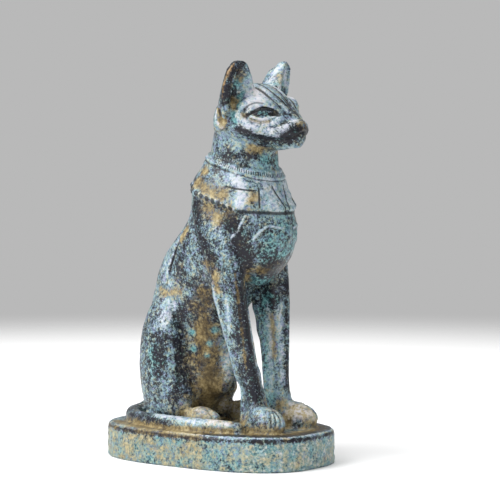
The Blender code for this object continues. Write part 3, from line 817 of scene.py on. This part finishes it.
# throat, shoulder and breast
# painted shadow under the jaw, along the collar's top
wash("shade_and_dark_skin", 0.70, 0.9, [(8.6, 8.5, 74.0), (13.9, 7.1, 74.3), (17.0, 3.7, 73.2), (17.7, 1.1, 72.4)])
wash("shade_and_dark_skin", 0.90, 1.8, [(1.5, 12.5, 60.3), (2.3, 13.1, 55.0), (4.6, 13.5, 49.7), (7.7, 13.6, 45.3)])
wash("shade_and_dark_skin", 1.10, 2.6,
     [(12.6, 12.1, 56.8), (13.5, 11.9, 55.3), (14.3, 11.7, 53.9), (15.1, 11.0, 50.5), (15.3, 10.0, 47.2)])
# painted shade under the chest, between the forelegs
wash("shade_and_dark_skin", 1.00, 3.0, [(14.5, 4.0, 38.0), (15.0, 0.0, 38.5)], [(12.0, 5.5, 34.0)],
     [(19.4, 4.6, 44.0), (20.2, 2.0, 44.2), (18.0, 0.0, 42.0)])
# back, lap and haunch
# painted shade in the back's furrow and in the lap
wash("shade_and_dark_skin", 0.90, 0.8, BACK_FURROW)
wash("shade_and_dark_skin", 0.66, 4.2, [(1.5, 9.5, 36.0), (0.4, 8.0, 27.0), (0.2, 6.5, 20.0), (0.6, 4.6, 9.0)])
# painted shade on the haunch and along its front edge, and darker skin on the back
wash("shade_and_dark_skin", 0.60, 2.4, [(-11.3, 12.0, 30.0), (-11.6, 13.3, 23.3), (-10.1, 13.5, 15.3)],
     [(-3.9, 11.8, 46.6), (-5.0, 11.2, 41.1), (-1.9, 10.8, 38.5)])
wash("shade_and_dark_skin", 1.00, 1.3, [(-9.0, 12.7, 24.7), (-7.0, 11.8, 23.2), (-6.0, 10.0, 24.7)])
wash("shade_and_dark_skin", 0.70, 1.6, [(-6.4, 9.4, 31.4), (-5.9, 9.7, 23.4), (-5.9, 10.6, 15.3), (-5.8, 12.4, 7.9)])
report("shade_and_dark_skin")

# %% Painted shade on the legs, paws and tail
LEG_FRONT = [(15.2, 8.9, 44.5), (15.4, 10.0, 39.3), (16.1, 9.7, 32.6), (16.9, 8.9, 24.6), (17.6, 8.1, 16.6),
             (18.4, 7.4, 9.2)]

# painted shade on the faces of the legs, paws and tail turned from the light
wash_side("shade_and_dark_skin", 1.10, 2.2, on_right(LEG_FRONT))
wash("shade_and_dark_skin", 0.70, 0.9, [(15.3, 10.6, 39.4), (16.5, 8.5, 28.8), (17.5, 6.9, 18.1), (18.4, 6.2, 10.1)],
     [(21.4, 3.2, 2.4), (23.5, 3.8, 0.9)])
wash_side("shade_and_dark_skin", 0.60, 2.0, [(19.5, -10.8, 5.0), (20.5, -11.4, 3.0)], [(24.5, -9.0, 4.0)])
wash_side("shade_and_dark_skin", 0.80, 1.1,
          [(-24.0, -8.0, 2.2), (-19.6, -13.6, 2.2), (-11.5, -16.6, 2.4), (-4.0, -18.2, 1.9)])
report("shade_and_dark_skin")

# %% Painted highlights on the head and body
# forehead, cheeks and lids
# painted highlight, a lilac sheen, on the faces turned to the light
wash("highlight_and_pale_patina", 1.08, 5.0, BROW_BONE)
wash("highlight_and_pale_patina", 0.85, 1.4, [(17.5, 9.4, 83.0), (20.0, 8.0, 82.2), (22.4, 6.3, 82.4), (23.6, 5.0, 83.6)],
     [(16.4, 10.2, 88.6), (19.0, 8.6, 89.2)])
wash("highlight_and_pale_patina", 0.88, 1.6, CHEEKBONE, MUZZLE_EDGE)
wash("highlight_and_pale_patina", 0.70, 1.0, FOREHEAD_BAND, [(23.0, 1.4, 75.9), (25.5, 1.3, 76.2)])
wash("highlight_and_pale_patina", 0.90, 0.40, LID_ROLL, LOWER_LID, CORD, WING, RING_EDGE[:4])
# far ear
wash_side("highlight_and_pale_patina", 0.95, 1.8, [(12.4, 5.4, 94.0), (13.4, 6.0, 96.4), (14.4, 7.4, 98.4)])
wash_side("highlight_and_pale_patina", 0.90, 0.9, [(13.3, 5.9, 94.5), (13.9, 7.0, 96.7), (14.7, 8.2, 98.3)])
wash_side("highlight_and_pale_patina", 0.90, 1.4, [(13.6, 11.0, 96.6), (13.4, 12.6, 93.0)])
# throat, bib and collar's sheet
# painted highlight on the throat, bib and collar
wash("highlight_and_pale_patina", 0.88, 5.0, [(20.0, 4.0, 67.5), (21.5, 4.5, 62.0)])
wash("highlight_and_pale_patina", 1.05, 2.3, [(12.3, 9.8, 67.7), (14.1, 9.6, 66.1), (14.9, 9.9, 64.0), (15.3, 11.2, 61.4)])
wash("highlight_and_pale_patina", 0.45, 2.8, [(9.8, 9.2, 79.4), (12.0, 7.8, 77.2)],
     [(8.5, 13.2, 55.1), (10.8, 13.3, 51.2), (11.9, 13.4, 47.3)])
# back, haunch and lap
# painted highlight on the back, haunch and lap
wash("highlight_and_pale_patina", 0.75, 0.9, [(-6.8, 9.8, 50.5), (-8.5, 10.3, 46.3), (-11.0, 9.8, 40.8)])
wash("highlight_and_pale_patina", 0.45, 4.5, [(-9.0, 10.0, 45.0), (-13.0, 8.0, 41.0), (-9.0, 10.0, 37.0)])
wash("highlight_and_pale_patina", 0.80, 2.6, [(-10.2, 12.5, 27.4), (-9.6, 11.1, 30.8), (-9.2, 9.4, 33.2)])
wash("highlight_and_pale_patina", 0.72, 1.6, [(3.4, 2.0, 22.0), (3.4, 1.1, 14.0)])
report("highlight_and_pale_patina")

# %% Painted highlights on the legs, paws and tail
# down forelegs
# painted highlight down the legs, on the paws and along the tail's top
wash("highlight_and_pale_patina", 0.70, 1.0, [(7.3, 13.0, 39.1), (8.4, 11.9, 32.4), (10.2, 9.8, 22.0), (12.2, 8.0, 9.6)])
wash("highlight_and_pale_patina", 0.75, 0.9, [(11.7, 12.6, 35.3), (12.0, 11.3, 27.2)])
wash("highlight_and_pale_patina", 0.72, 1.6, [(12.5, 4.0, 33.0), (14.0, 3.4, 22.0), (15.4, 2.8, 10.0)],
     [(15.4, 6.8, 32.0), (16.5, 6.0, 20.9), (17.8, 4.6, 12.9)])
wash("highlight_and_pale_patina", 0.45, 2.8, [(13.3, 3.4, 20.0), (14.2, 3.0, 10.0)],
     [(22.0, 3.0, 5.5), (25.0, 8.0, 4.0), (19.0, 10.0, 5.0)])
# paws
wash("highlight_and_pale_patina", 0.60, 3.0, [(22.5, 5.0, 6.0), (26.0, 6.5, 4.0), (22.0, 2.5, 3.0)])
wash("highlight_and_pale_patina", 0.60, 2.6, [(-1.0, 11.0, 5.0), (5.0, 11.0, 4.6)])
wash_side("highlight_and_pale_patina", 0.75, 2.4, FAR_HIND_FOOT)
wash_side("highlight_and_pale_patina", 0.80, 2.2, [(21.0, 3.6, 5.0), (24.0, 4.8, 5.2), (26.0, 6.0, 4.2)])
wash_side("highlight_and_pale_patina", 0.80, 1.6, [(23.2, 6.2, 6.3), (25.4, 5.9, 4.6)], [(22.6, 3.6, 4.4), (24.2, 4.2, 3.4)],
          [(20.4, 5.0, 6.6)])
wash_side("highlight_and_pale_patina", 1.00, 0.5, [(24.4, 4.2, 2.0)])
# tail
wash_side("highlight_and_pale_patina", 0.82, 1.1,
          [(-9.0, -16.4, 3.2), (-2.0, -17.2, 3.4), (3.7, -17.4, 3.0), (9.8, -16.8, 2.8),
           (15.0, -15.4, 2.6)])
wash_side("highlight_and_pale_patina", 0.80, 1.7, [(-6.0, -16.6, 3.6), (5.3, -16.2, 3.4), (13.6, -15.8, 2.8)])
report("highlight_and_pale_patina")

# %% [markdown]
# The eyeball has to stay dark inside its lids, and the lower lid light against it. So the
# painted highlight is held back on the one, and the painted shade on the other.

# %% Clear the eye
washes["highlight_and_pale_patina"] *= 1 - 0.95 * line(EYE_BALL, 0.85)
wash("highlight_and_pale_patina", 1.05, 0.36, LOWER_LID)
washes["shade_and_dark_skin"] *= 1 - 0.9 * line(LOWER_LID, 0.50)
report("highlight_and_pale_patina")

# %% Painted shade in the cut lines and the ring's hole, gold on the rim
# painted shade in the cut lines, the paws' furrows and the dimple that stands for the ring's hole
wash("line_shade_and_dark_beads", 1.00, 0.34, LID_LINE, UPPER_LINE, LOWER_LINE, BRIDGE_LINE, MOUTH, NOSTRIL, LAPEL, BIB_LINE,
     PANEL_OUTER)
wash("line_shade_and_dark_beads", 1.00, 0.60, IRIS, INNER_CORNER)
wash("line_shade_and_dark_beads", 1.00, 0.75, RING_HOLE)
wash("line_shade_and_dark_beads", 0.75, 0.30, BROW)
wash("line_shade_and_dark_beads", 0.35, 0.36, UNDER_LID)
wash("line_shade_and_dark_beads", 0.75, 0.45, BACK_FURROW)
wash_side("line_shade_and_dark_beads", 0.62, 0.30, *[on_right(toe) for toe in TOES])
wash("line_shade_and_dark_beads", 0.40, 0.34, *HIND_TOES)
wash_side("gold", 0.75, 0.42, on_right(EAR_RIM))
report("line_shade_and_dark_beads")

# %% [markdown]
# The collar and the plinth are washed by their measures and not by strokes. On the collar the
# beads are dark, the groove below the lines and the foot of the hem get painted shade, the skin
# round the beads gets a painted highlight, and the ticks lie on a light band. On the plinth
# painted shade runs below the rounded rim and, in front, a dark line along its top. The edge
# between them gets a painted highlight, and the side is mottled with teal and ochre and painted
# lighter towards the front end, where more light falls.

# %% Washes of the collar
# painted shadow under the hem and painted shade in the groove below the lines; the beads are dark
wash_over("line_shade_and_dark_beads", under_hem * on_neck)
wash_over("line_shade_and_dark_beads", 0.8 * ridge(lower + LINE_GROOVE, 0.22) * on_neck)
wash_over("line_shade_and_dark_beads", ramp(bead, 0.36, 0.60) * on_neck)
washes["band"] = ramp(lower, 0.3, 0.6) * (1 - ramp(upper, -0.5, -0.2)) * on_neck
washes["arc"] = arc
# painted highlight round the beads
wash_over("highlight_and_pale_patina", 0.9 * ridge(beads_over, 0.8) * (bead <= 0.15) * (1 - bib) * on_neck)
wash_over("highlight_and_pale_patina", 0.75 * washes["band"] * (forward < 16))
print("points on the band of ticks:", int((washes["band"] > SHOWS_FROM).sum()))

# %% Washes of the plinth
PLINTH_HALF_WIDTH = 20.75
PLINTH_HALF_LENGTH = 32.75

facing_up = true_facing[:, 2]
to_front = ramp(forward, 12.0, 26.0)
rim = ridge(height + 1.0, 0.45) * (facing_up < 0.97)
rim_highlight = ridge(height + 0.2, 0.35) * (facing_up < 0.97) * (0.35 + 0.65 * ramp(forward, -8.0, 8.0))
plinth_side = ramp(-height, 1.4, 2.2) * (np.abs(facing_up) < 0.6)
top_edge = ramp(np.hypot(side / PLINTH_HALF_WIDTH, forward / PLINTH_HALF_LENGTH), 0.84, 0.95)
top_edge *= (facing_up > 0.9) * (np.abs(height) < 0.6)

# painted shade on the rounded rim
wash_over("shade_and_dark_skin", 0.8 * rim)
wash_over("shade_and_dark_skin", 0.9 * top_edge * ramp(forward, 2.0, 12.0))
# painted highlight along the rim's top edge
wash_over("highlight_and_pale_patina", 0.72 * rim_highlight)
# pale patina on the side, painted lighter towards the front end where more light falls
wash_over("highlight_and_pale_patina", (0.26 + 0.24 * to_front) * plinth_side)
wash_over("ochre", (0.50 - 0.12 * ramp(forward, 4.0, 16.0)) * plinth_side)
wash_over("teal", (0.60 + 0.1 * to_front) * plinth_side)
print("points on the plinth's side:", int((plinth_side > SHOWS_FROM).sum()))

# %% [markdown]
# Broad hollows gather more ochre, wherever they are. The teal spots in the lap and the band of
# ticks are then cleared of dirt and dark, and every wash is kept on the skin.

# %% Dirt in the hollows
HOLLOW_DIRT = 0.7
HOLLOW_FROM = 0.30
HOLLOW_TO = 1.0

washes["ochre"] = np.clip(washes["ochre"] + HOLLOW_DIRT * ramp(broad, HOLLOW_FROM, HOLLOW_TO), 0, 1)
for spot in LAP_SPOTS:
    washes["ochre"] *= 1 - 0.8 * line(spot, 1.0)
    washes["shade_and_dark_skin"] *= 1 - 0.8 * line(spot, 1.0)
washes["shade_and_dark_skin"] *= 1 - 0.8 * washes["band"]
for name, values in washes.items():
    keep(name, values)
print("measures kept on the skin:", ", ".join(washes))

# %% [markdown]
# The even net has more triangles than the shape needs, most of them where the skin is nearly
# flat. Collapsing the shortest, flattest edges brings it under the limit for one piece, and
# leaves the carving as it is. The washes go along with the points.

# %% Thin the net
TRIANGLE_BUDGET = 192000

cat.data.calc_loop_triangles()
before = len(cat.data.loop_triangles)
thin = cat.modifiers.new("thin net", "DECIMATE")
thin.ratio = TRIANGLE_BUDGET / before
settle(cat)
cat.data.calc_loop_triangles()
print("triangles:", before, "thinned to", len(cat.data.loop_triangles))

# %% [markdown]
# The metal is cast bronze with an artificial patina, brushed on and rubbed back. Under
# everything is a blue-black skin that still reflects a little like metal. Over it lie, one on
# the other, a pale grey-blue bloom of copper salts with paler flecks, teal verdigris, ochre
# dirt, a painted lilac highlight, and painted shade in the cut lines. Each layer stops short
# of the next, which gives the eye its speckle of warm and cold.
#
# A layer's mask adds up noises and washes, each with its own weight, and a smooth step then
# sharpens the sum to bare or covered. The wash says where the layer lies, and the noise breaks
# its edge up. Every noise is in the object's own millimetres. The real grain goes down to a
# tenth of a millimetre, too fine to show, so the finest specks are drawn 0.36 mm wide.

# %% Noises and masks of the patina
NOISE_ROUGHNESS = 0.62
# name: size in mm, octaves, and a shift in metres that keeps the noises apart
NOISES = {
    "patch": (5.5, 3, 0.0),
    "mottle": (1.7, 4, 0.0),
    "grain": (0.70, 2, 0.0),
    "speck": (0.36, 1, 0.0),
    "soil": (3.1, 4, 0.31),
    "salts": (2.3, 4, 0.57),
    "tint": (1.3, 4, 0.83),
}
# name: starting value, weight of each signal, and the step as from, to, low and high
MASKS = {
    # coverage: painted shade in fine hollows and under the shade wash, painted highlight on ridges and
    # under the highlight wash
    "coverage": (-1.66, {"patch": 1.0, "mottle": 0.95, "grain": 1.3, "speck": 0.90, "highlight_and_pale_patina": 0.50,
                         "shade_and_dark_skin": -0.40, "fine_hollow": -0.9}, None),
    "cover": (0.0, {"coverage": 1.0}, (0.14, 0.84, 0.0, 1.0)),
    "flecks": (0.0, {"grain": 0.5, "speck": 1.2}, (1.06, 1.24, 0.0, 0.75)),
    "salt_cover": (-1.5, {"teal": 0.85, "salts": 1.4, "grain": 1.6}, (0.12, 0.80, 0.0, 0.88)),
    "soil_cover": (-1.5, {"ochre": 0.95, "soil": 1.4, "grain": 1.6}, (0.10, 0.82, 0.0, 0.92)),
    # the ochre is painted darker under the painted shade and paler under the painted highlight
    "dirt_tone": (-0.08, {"tint": 0.55, "soil": 0.45, "grain": 0.30, "shade_and_dark_skin": -0.20, "highlight_and_pale_patina": 0.14}, None),
    # painted highlight where the highlight wash lies
    "highlight_cover": (-1.5, {"highlight_and_pale_patina": 1.0, "mottle": 1.4, "grain": 1.6}, (0.46, 1.25, 0.0, 0.80)),
    "rubbed_gold": (-0.5, {"gold": 0.8, "grain": 1.0}, (0.30, 0.70, 0.0, 0.85)),
    "tick": (-1.0, {"band": 1.0, "off_tick": -1.0}, (-0.28, -0.10, 0.0, 0.8)),
    "cut": (0.0, {"line_shade_and_dark_beads": 1.0}, (0.30, 0.85, 0.0, 0.88)),
    "metal": (0.0, {"coverage": 1.0, "soil_cover": 0.8}, (0.20, 0.65, 0.18, 0.0)),
    "dullness": (0.0, {"soil_cover": 1.0}, (0.0, 1.0, 0.40, 0.75)),
    "relief": (0.0, {"mottle": 0.5, "grain": 0.6, "speck": 0.3}, None),
}
print("noises and masks:", len(NOISES), len(MASKS))

# %% Signals of the patina
look = bpy.data.materials.new("patinated_cast_bronze")
look.use_nodes = True
tree = look.node_tree
shader = tree.nodes["Principled BSDF"]
place = add_node(tree, "ShaderNodeTexCoord").outputs["Object"]
signals = {name: add_node(tree, "ShaderNodeAttribute", {"attribute_name": name}).outputs["Fac"]
           for name in [*washes, "fine_hollow"]}
signals["off_tick"] = add_node(tree, "ShaderNodeMath", {"operation": "PINGPONG"}, {1: TICK_SPACING / 2},
                               {0: signals["arc"]}).outputs[0]
for name, (size, octaves, shift) in NOISES.items():
    moved = add_node(tree, "ShaderNodeVectorMath", {"operation": "ADD"}, {1: [shift] * 3}, {0: place})
    pattern = add_node(tree, "ShaderNodeTexNoise", None,
                       {"Scale": 1 / (size * MM), "Detail": octaves, "Roughness": NOISE_ROUGHNESS},
                       {"Vector": moved.outputs[0]})
    signals[name] = pattern.outputs[0]

for name, (start, weights, step) in MASKS.items():
    total = None
    for source, weight in weights.items():
        links = {0: signals[source]} if total is None else {0: signals[source], 2: total}
        total = add_node(tree, "ShaderNodeMath", {"operation": "MULTIPLY_ADD"}, {1: weight, 2: start},
                         links).outputs[0]
    if step:
        values = dict(zip(("From Min", "From Max", "To Min", "To Max"), step))
        total = add_node(tree, "ShaderNodeMapRange", {"interpolation_type": "SMOOTHSTEP"}, values,
                         {"Value": total}).outputs[0]
    signals[name] = total
print("signals to mix from:", len(signals))

# %% Layers of the patina
# sockets of a colour mix
FACTOR = 0
UNDER = 6
OVER = 7
MIXED = 2
BARE_SKIN = [(0.30, "#0e1522"), (0.50, "#15121c"), (0.70, "#101a1b")]
BLOOM = [(0.30, "#908eab"), (0.43, "#6e89a0"), (0.55, "#86a3a4"), (0.68, "#aca78c")]
VERDIGRIS = [(0.30, "#294f58"), (0.50, "#528a90"), (0.70, "#86b9b6")]
OCHRE_DIRT = [(0.30, "#2b2414"), (0.45, "#57482a"), (0.58, "#7e6d46"), (0.72, "#a5966e")]
# title, the mask that it covers by, the signal that picks from its run of colours, the colours
LAYERS = [
    ("bare skin", None, "salts", BARE_SKIN),
    ("bloom", "cover", "tint", BLOOM),
    ("dust", "flecks", None, "#a6b2be"),
    ("verdigris", "salt_cover", "grain", VERDIGRIS),
    ("ochre dirt", "soil_cover", "dirt_tone", OCHRE_DIRT),
    # painted highlight, a lilac white
    ("painted highlight", "highlight_cover", None, "#c6c6d0"),
    ("rubbed rim", "rubbed_gold", None, "#8a6c42"),
    ("ticks", "tick", None, "#0f1016"),
    # painted shade of the cut lines, and the dark of the beads
    ("cut lines", "cut", None, "#0f1016"),
]

colour = None
for title, mask, chosen_by, colours in LAYERS:
    values = {}
    links = {}
    if chosen_by:
        run = add_node(tree, "ShaderNodeValToRGB", {"label": title}, None, {"Fac": signals[chosen_by]})
        stops = run.color_ramp.elements
        stops[0].position = colours[0][0]
        stops[1].position = colours[-1][0]
        for position, _ in colours[1:-1]:
            stops.new(position)
        for stop, (_, code) in zip(stops, colours):
            stop.color = linear(code)
        links[OVER] = run.outputs["Color"]
    else:
        values[OVER] = linear(colours)
    if mask is None:
        colour = links[OVER]
        continue
    links[UNDER] = colour
    links[FACTOR] = signals[mask]
    mixed = add_node(tree, "ShaderNodeMix", {"data_type": "RGBA", "label": title}, values, links)
    colour = mixed.outputs[MIXED]
print("layers of patina:", len(LAYERS))

# %% [markdown]
# The bare skin is a thin layer of oxide, so it is only a little metallic and half rough, with
# weak reflections and a faint coat from the wax that such pieces get. Dirt is duller and not
# metallic at all. The finest grain is too small to model, and is left to a shallow bump.

# %% Shader of the patina
GRAIN_BUMP = 0.12 * MM
BUMP_STRENGTH = 0.6

bump = add_node(tree, "ShaderNodeBump", None, {"Strength": BUMP_STRENGTH, "Distance": GRAIN_BUMP},
                {"Height": signals["relief"]})
for socket, source in (("Base Color", colour), ("Metallic", signals["metal"]),
                       ("Roughness", signals["dullness"]), ("Normal", bump.outputs["Normal"])):
    tree.links.new(source, shader.inputs[socket])
shader.inputs["Specular IOR Level"].default_value = 0.28
shader.inputs["Coat Weight"].default_value = 0.14
shader.inputs["Coat Roughness"].default_value = 0.30
cat.data.materials.clear()
cat.data.materials.append(look)
cat.data.shade_smooth()
print("finish built from", len(tree.nodes), "nodes")

# %% [markdown]
# The statue stands on a white sheet that runs out of sight into a plain grey background. The
# sheet is a disc that thins away with distance from the statue, so that no edge or horizon
# shows.

# %% White sheet
FLOOR_REACH = 0.70
FLOOR_SEGMENTS = 96
FLOOR_WHITE_TO = 0.24
FLOOR_GONE_BY = 0.47

bm = bmesh.new()
bmesh.ops.create_circle(bm, cap_ends=True, segments=FLOOR_SEGMENTS, radius=FLOOR_REACH)
floor_mesh = bpy.data.meshes.new("floor")
bm.to_mesh(floor_mesh)
bm.free()
floor = bpy.data.objects.new("floor", floor_mesh)
bpy.context.scene.collection.objects.link(floor)
floor_look = bpy.data.materials.new("white_card")
floor_look.use_nodes = True
card = floor_look.node_tree
card_shader = card.nodes["Principled BSDF"]
card_shader.inputs["Base Color"].default_value = linear("#f4f4f4")
card_shader.inputs["Roughness"].default_value = 0.9
card_place = add_node(card, "ShaderNodeTexCoord").outputs["Object"]
distance = add_node(card, "ShaderNodeVectorMath", {"operation": "LENGTH"}, None, {0: card_place})
fade = add_node(card, "ShaderNodeMapRange", {"interpolation_type": "SMOOTHSTEP"},
                {"From Min": FLOOR_WHITE_TO, "From Max": FLOOR_GONE_BY, "To Min": 1.0, "To Max": 0.0},
                {"Value": distance.outputs["Value"]})
card.links.new(fade.outputs[0], card_shader.inputs["Alpha"])
floor.data.materials.append(floor_look)
print("sheet, metres across:", 2 * FLOOR_REACH)

# %% [markdown]
# The grey room gives most of the light. A broad soft light stands to the left and above, a
# weaker one hangs overhead, and a faint one in front opens the shadows under the chin.

# %% Room and lights
ROOM_GREY = "#c0c0c0"
ROOM_STRENGTH = 0.92
LIT_POINT = Vector((0, 0, 0.055))
# name, place and width in metres, power in watts
SOFT_BOXES = [
    ("key_light", (-0.50, 0.27, 0.52), 0.70, 7.5),
    ("top_light", (0.05, 0.05, 0.85), 0.90, 4.0),
    ("front_light", (-0.65, -0.75, 0.30), 0.50, 1.5),
]

world = bpy.data.worlds.new("studio")
bpy.context.scene.world = world
world.use_nodes = True
world.node_tree.nodes["Background"].inputs["Color"].default_value = linear(ROOM_GREY)
world.node_tree.nodes["Background"].inputs["Strength"].default_value = ROOM_STRENGTH
for name, place, width, watts in SOFT_BOXES:
    light = bpy.data.objects.new(name, bpy.data.lights.new(name, "AREA"))
    bpy.context.scene.collection.objects.link(light)
    light.data.shape = "DISK"
    light.data.size = width
    light.data.energy = watts
    light.location = place
    light.rotation_euler = (LIT_POINT - Vector(place)).to_track_quat("-Z", "Y").to_euler()
print("soft lights:", len(SOFT_BOXES))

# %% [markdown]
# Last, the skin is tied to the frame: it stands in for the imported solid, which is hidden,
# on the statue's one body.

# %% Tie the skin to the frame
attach(cat, "root")
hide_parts("cat_statue")

print("skin tied to the frame:", cat.name)
